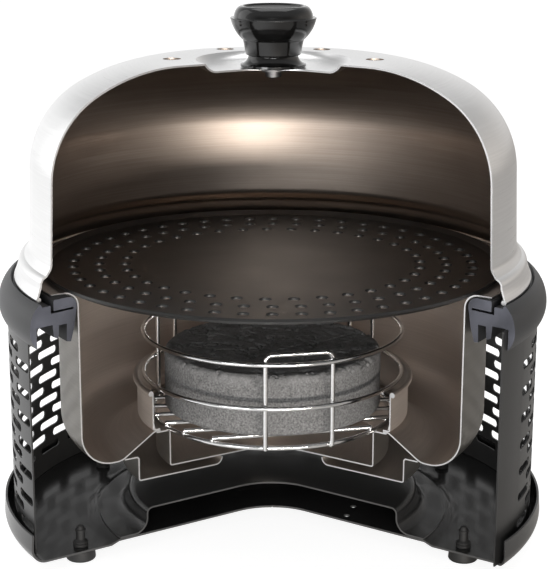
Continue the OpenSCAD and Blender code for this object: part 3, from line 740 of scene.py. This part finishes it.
def collar_piece():
    """Moulded ring with a round shoulder, a ledge for the bowl, a slit for its rim and ribs below."""
    lip_z, shoulder_r, neck_r = low("collar"), reach("collar"), 147.2
    mid_z, rise, drop, bulge = 142.0, 15.5, 12.5, shoulder_r - neck_r
    ledge_c, ledge_r = (133.6, mid_z + 9.2), 6.0
    groove_z, groove_r, groove_w = mid_z + 12.5, 144.9, 5.3
    deck_z, channel_r, lip_t = mid_z + 1.6, 154.5, 1.2
    cap_r, cap_edge, slit_top, slit_end, slit = groove_r - 1.9, 0.6, ledge_c[1], 130.0, 1.2
    rib_r, rib_w, rib_h, rib_taper = 139.8, 4.2, 8.5, 0.6
    leg_r, leg_w, leg_h = 129.6, 5.0, 11.6
    crown_turn, crown_steps, lip_steps = 68, 18, 14
    lip_turn = math.degrees(math.acos((channel_r + lip_t - neck_r) / bulge))
    profile = arc(*ledge_c, ledge_r, 180, 90, 20)
    profile += arc(cap_r - cap_edge, ledge_c[1] + ledge_r - cap_edge, cap_edge, 90, 0, 4)
    profile += [(cap_r, slit_top), (slit_end, slit_top)]
    profile += [(slit_end, slit_top - slit), (groove_r, slit_top - slit)]
    profile += [(groove_r, groove_z - 0.4), (groove_r + 0.4, groove_z), (groove_r + groove_w, groove_z)]
    for i in range(crown_steps + 1):
        a = math.radians(crown_turn - crown_turn * i / crown_steps)
        profile.append((neck_r + bulge * math.cos(a), mid_z + rise * math.sin(a)))
    for i in range(1, lip_steps + 1):
        a = math.radians(-lip_turn * i / lip_steps)
        profile.append((neck_r + bulge * math.cos(a), mid_z + drop * math.sin(a)))
    profile += [(channel_r, lip_z), (channel_r, deck_z), (rib_r + rib_w, deck_z)]
    profile += [(rib_r + rib_w - rib_taper, deck_z - rib_h + 1.5), (rib_r + rib_taper, deck_z - rib_h)]
    profile += [(rib_r, deck_z - 1), (leg_r + leg_w, deck_z - 1)]
    profile += [(leg_r + leg_w + 0.4, deck_z - leg_h + 0.6), (leg_r + 2.6, deck_z - leg_h)]
    profile += [(leg_r, deck_z - 3)]
    inner_r = ledge_c[0] - ledge_r - 5
    span = slanted_cut(inner_r, COLLAR_CUT_INNER, shoulder_r, COLLAR_CUT_OUTER)
    bm = turned(profile, [FACE] * len(profile), [(list(range(len(profile))), BACK)], span)
    piece = mesh_object("collar_ring", bm, [FINISH["collar_skin"], FINISH["collar_cut"]])
    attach(piece, "base")
    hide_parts("collar")


# Charcoal stone

def stone_piece():
    """Pressed block with a round foot and edge, dented sides and a cracked, pitted top."""
    z, top, r = low("charcoal_stone"), high("charcoal_stone"), reach("charcoal_stone")
    foot, edge, even_h = 2.0, 4.0, 2.5
    ring_step, most_rings, dish_step, dish_rings = 0.8, 75, 0.15, 8
    crack_depth, crack_w, pit_depth, hollow_from, dent_depth = 1.6, 0.06, 2.2, 0.25, 0.18
    top_grain, top_sink, side_grain, side_sink = 0.35, 0.25, 0.05, 0.05
    pit_seed, crack_seed = Vector((7, 3, 1)), Vector((1, 9, 4))
    profile = [(0.0, z), (r - foot, z)] + arc(r - foot, z + foot, foot, -90, 0, 5)
    profile += [(r, z + h) for h in range(4, int(top - z - edge))]
    profile += arc(r - edge, top - edge, edge, 0, 90, 8)
    rings = [i for i in range(1, most_rings) if r - edge - ring_step * i > 1.0]
    profile += [(r - edge - ring_step * i, top - dish_step * min(i, dish_rings)) for i in rings]
    profile += [(0.0, top - dish_step * dish_rings)]
    bm = turned(profile, [FACE] * len(profile), [], None, STONE_STEPS)
    for v in bm.verts:
        p = v.co / MM
        if p.z <= z + even_h:
            continue
        on_top = max(0.0, min(1.0, (p.z - (top - 6.0)) / 3.0))
        grain = noise.fractal(p * 0.35, 1.0, 2.0, 3)
        dent = -dent_depth * max(0.0, noise.noise(p * 0.55) - hollow_from)
        pit = -pit_depth * max(0.0, noise.fractal(p * 0.13 + pit_seed, 1.0, 2.0, 4) - hollow_from)
        off_crack = abs(noise.noise(p * 0.06 + crack_seed) + 0.3 * noise.noise(p * 0.2))
        crack = -crack_depth * max(0.0, 1.0 - off_crack / crack_w)
        v.co.z += on_top * min(0.0, top_grain * grain + crack + pit - top_sink) * MM
        outward = Vector((p.x, p.y, 0)).normalized()
        v.co += outward * (1 - on_top) * (side_grain * grain + dent - side_sink) * MM
    piece = mesh_object("charcoal_block", bm, [FINISH["charcoal"]])
    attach(piece, "stone")
    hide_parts("charcoal_stone")


# Basket welds

def weld_points():
    """Where the basket's wires are welded: grate wires and loop legs on the rings."""
    wire_r, turn = 1.3, 12.0
    wires, pitch = 8, 15.5
    loops = ((turn, 15.0), (turn + 119.5, 8.0), (turn - 129.0, 8.0))
    ring_r = reach("basket_bottom_ring") - wire_r
    outer_r = reach("basket_middle_ring") - wire_r
    leg_r = (ring_r + outer_r) / 2
    rings = ("basket_bottom_ring", "basket_middle_ring", "basket_top_ring")
    bottom_z, middle_z, top_z = [low(ring) + wire_r for ring in rings]
    points = []
    for i in range(wires):
        across = (i - (wires - 1) / 2) * pitch
        along = math.sqrt(ring_r * ring_r - across * across)
        for side in (-1, 1):
            place = Matrix.Rotation(math.radians(turn), 3, "Z") @ Vector((side * along, across, 0))
            points.append((place.x, place.y, bottom_z + wire_r))
    for az, half in loops:
        for side in (-half, half):
            points.append((*polar(leg_r - wire_r, az + side), bottom_z))
            for ring_z in (middle_z, top_z):
                points.append((*polar(leg_r + wire_r, az + side), ring_z))
    return [AXIS + Vector(p) * MM for p in points]


def bead_tree():
    """Geometry Nodes: a small uneven bead of weld metal on every point."""
    tree = bpy.data.node_groups.new("Weld beads", "GeometryNodeTree")
    tree.interface.new_socket(name="Points", in_out="INPUT", socket_type="NodeSocketGeometry")
    sockets = {}
    for label, kind in (("Radius", "NodeSocketFloat"), ("Unevenness", "NodeSocketFloat"),
                        ("Seed", "NodeSocketInt"), ("Finish", "NodeSocketMaterial")):
        sockets[label] = tree.interface.new_socket(name=label, in_out="INPUT", socket_type=kind).identifier
    tree.interface.new_socket(name="Beads", in_out="OUTPUT", socket_type="NodeSocketGeometry")
    given, out = tree.nodes.new("NodeGroupInput"), tree.nodes.new("NodeGroupOutput")
    bead = add(tree, "GeometryNodeMeshIcoSphere", {"Radius": given.outputs["Radius"], "Subdivisions": 2})
    least = add(tree, "ShaderNodeMath", {0: 1.0, 1: given.outputs["Unevenness"]}, operation="SUBTRACT")
    most = add(tree, "ShaderNodeMath", {0: 1.0, 1: given.outputs["Unevenness"]}, operation="ADD")
    size = add(tree, "FunctionNodeRandomValue", data_type="FLOAT_VECTOR")
    whole_turn = (6.28, 6.28, 6.28)
    turn = add(tree, "FunctionNodeRandomValue", {"Max": whole_turn}, data_type="FLOAT_VECTOR")
    tree.links.new(least.outputs[0], size.inputs["Min"])
    tree.links.new(most.outputs[0], size.inputs["Max"])
    for node in (size, turn):
        tree.links.new(given.outputs["Seed"], node.inputs["Seed"])
    placed = add(tree, "GeometryNodeInstanceOnPoints",
                 {"Points": given.outputs["Points"], "Instance": bead.outputs["Mesh"],
                  "Rotation": turn.outputs["Value"], "Scale": size.outputs["Value"]})
    real = add(tree, "GeometryNodeRealizeInstances", {0: placed.outputs[0]})
    smooth = add(tree, "GeometryNodeSetShadeSmooth", {0: real.outputs[0]})
    finished = add(tree, "GeometryNodeSetMaterial",
                   {"Geometry": smooth.outputs[0], "Material": given.outputs["Finish"]})
    tree.links.new(finished.outputs[0], out.inputs["Beads"])
    return tree, sockets


def weld_piece():
    """Weld beads of the basket, turned into a plain mesh."""
    mesh = bpy.data.meshes.new("basket_welds")
    mesh.from_pydata(weld_points(), [], [])
    piece = bpy.data.objects.new("basket_welds", mesh)
    bpy.context.scene.collection.objects.link(piece)
    tree, sockets = bead_tree()
    modifier = piece.modifiers.new("beads", "NODES")
    modifier.node_group = tree
    modifier[sockets["Radius"]] = 1.45 * MM
    modifier[sockets["Unevenness"]] = 0.2
    modifier[sockets["Seed"]] = 4
    modifier[sockets["Finish"]] = FINISH["wire"]
    baked = bpy.data.meshes.new_from_object(piece.evaluated_get(bpy.context.evaluated_depsgraph_get()))
    piece.modifiers.remove(modifier)
    piece.data = baked
    bpy.data.meshes.remove(mesh)
    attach(piece, "basket")


def dress_cad_nodes():
    """CAD nodes that already have their shape get their finish."""
    dressed = {"perforated_wall": "wall_coat", "grill_plate": "plate_coat", "collar_screws": "screw",
               "knob_washer": "dull_screw", "knob_screw": "dull_screw"}
    dressed.update({node: "wire" for node in nodes if node.startswith("basket_")})
    for node, finish in dressed.items():
        for slot in nodes[node].material_slots:
            slot.material = FINISH[finish]


# Light, floor and camera

def area_light(name, place, target, size, power, colour=(1.0, 1.0, 1.0)):
    """Rectangular lamp that faces a target."""
    data = bpy.data.lights.new(name, "AREA")
    data.shape = "RECTANGLE"
    data.size, data.size_y = size
    data.energy = power
    data.color = colour
    lamp = bpy.data.objects.new(name, data)
    lamp.location = place
    lamp.rotation_euler = (Vector(target) - Vector(place)).to_track_quat("-Z", "Y").to_euler()
    bpy.context.scene.collection.objects.link(lamp)


def stage_plane(name, corners, material):
    """Four-cornered piece of the stage."""
    mesh = bpy.data.meshes.new(name)
    mesh.from_pydata(corners, [], [(0, 1, 2, 3)])
    mesh.materials.append(material)
    plane = bpy.data.objects.new(name, mesh)
    bpy.context.scene.collection.objects.link(plane)


def room_light(sides, above):
    """World: a pale room whose level changes round the object; white behind the object to the eye.

    sides are the levels from behind, clockwise seen from above, an eighth of a turn apart.
    """
    world = bpy.data.worlds.new("studio")
    bpy.context.scene.world = world
    world.use_nodes = True
    tree = world.node_tree
    above_from, above_to, white = 0.2, 0.55, (1, 1, 1, 1)
    x, y, z = add(tree, "ShaderNodeSeparateXYZ", {0: coordinate_of(tree, "Generated")}).outputs
    angle = maths(tree, "ARCTAN2", x, maths(tree, "MULTIPLY", y, -1.0))
    turn = add(tree, "ShaderNodeMapRange", {"Value": angle, "From Min": -math.pi, "From Max": math.pi})
    stops = [(i / len(sides), level) for i, level in enumerate(sides)] + [(1.0, sides[0])]
    room = ramp(tree, turn.outputs[0], stops)
    high_up = add(tree, "ShaderNodeMapRange", {"Value": z, "From Min": above_from, "From Max": above_to})
    room = blend(tree, high_up.outputs[0], room, (*above, 1))
    backdrop = blend(tree, add(tree, "ShaderNodeLightPath").outputs["Is Camera Ray"], room, white)
    tree.links.new(backdrop, tree.nodes["Background"].inputs["Color"])


def pale_floor(left, middle, far_right):
    """Floor that shows white to the eye, and glows to glossy rays with painted reflection levels that change
    from left to right, which the metal mirrors.
    """
    tone, seen, half = (0.4, 0.4, 0.4, 1), (0.88, 0.88, 0.88, 1), 6.0
    glow_from, glow_to = -0.3, 0.7
    material, tree, shader = new_finish("pale_floor", Base_Color=tone, Roughness=0.9, Specular_IOR_Level=0.1)
    x = add(tree, "ShaderNodeSeparateXYZ", {0: coordinate_of(tree)}).outputs["X"]
    side = add(tree, "ShaderNodeMapRange", {"Value": x, "From Min": glow_from, "From Max": glow_to})
    # Painted reflection: the levels the floor glows with, seen only in glossy rays
    glow = ramp(tree, side.outputs[0], [(0.1, left), (0.42, middle), (0.65, middle), (0.9, far_right)])
    ray = add(tree, "ShaderNodeLightPath").outputs
    mirrored = maths(tree, "MAXIMUM", ray["Is Glossy Ray"], ray["Is Transmission Ray"])
    shown = maths(tree, "MAXIMUM", mirrored, ray["Is Camera Ray"])
    tree.links.new(blend(tree, ray["Is Camera Ray"], glow, seen), shader.inputs["Emission Color"])
    tree.links.new(shown, shader.inputs["Emission Strength"])
    stage_plane("floor", [(-half, -half, 0), (half, -half, 0), (half, half, 0), (-half, half, 0)], material)


def around(az, height, distance):
    """Place of a lamp at an azimuth from the front, positive to the right."""
    return distance * math.sin(math.radians(az)), -distance * math.cos(math.radians(az)), height


def studio():
    """Pale room and floor, two softboxes and low fills from the front."""
    back, back_left, left, front_left = grey(1.1), grey(1.1), grey(0.8), grey(0.1)
    front, front_right = grey(0.1), (0.11, 0.1, 0.09)
    right, back_right = (0.8, 0.75, 0.7), (0.57, 0.54, 0.51)
    sides = [back, back_left, left, front_left, front, front_right, right, back_right]
    room_light(sides, above=grey(0.45))
    # Painted reflection: the floor glows bright at the left and dark in the middle and far right where the
    # metal mirrors it
    pale_floor(left=grey(0.82), middle=(0.2, 0.185, 0.165), far_right=(0.16, 0.145, 0.13))
    area_light("left_softbox", (-1.1, 0.3, 0.7), (0, 0, 0.2), (0.8, 1.2), 2.5)
    area_light("top_softbox", (0.0, 0.25, 1.5), (0, 0, 0.2), (1.2, 1.0), 6.2)
    area_light("front_fill", around(0, 0.42, 1.5), (0, 0, 0.12), (0.6, 0.2), 4.5)
    area_light("table_glow", around(12, 0.04, 1.0), (0, 0, 0.14), (0.6, 0.06), 5.5, (1.0, 0.94, 0.88))
    area_light("front_left_fill", around(-30, 0.16, 1.4), (0, 0, 0.12), (0.5, 0.2), 3.0)


def camera():
    """Camera fitted to the photograph's rims and edges."""
    focal_px, image_h, sensor = 1652.7, 569.0, 36.0
    pitch, roll = math.radians(14.562), math.radians(0.158)
    place = AXIS + Vector((0.0013, -0.9383, 0.389))
    data = bpy.data.cameras.new("camera")
    data.sensor_fit = "VERTICAL"
    data.sensor_height = sensor
    data.lens = focal_px * sensor / image_h
    data.clip_start = 0.05
    eye = bpy.data.objects.new("camera", data)
    turn = Matrix.Rotation(math.pi / 2 - pitch, 4, "X") @ Matrix.Rotation(roll, 4, "Z")
    eye.matrix_world = Matrix.Translation(place) @ turn
    bpy.context.scene.collection.objects.link(eye)
    bpy.context.scene.camera = eye


camera()
studio()
lid_piece()
knob_piece()
bowl_piece()
moat_ring_piece()
tray_piece()
ash_pan_piece()
base_pan_piece()
heat_shield_piece()
for foot in ("foot_front_left", "foot_front_right", "foot_rear_left", "foot_rear_right"):
    foot_piece(foot)
collar_piece()
stone_piece()
weld_piece()
dress_cad_nodes()
bpy.context.scene.view_settings.view_transform = "Standard"

bpy.context.view_layer.update()
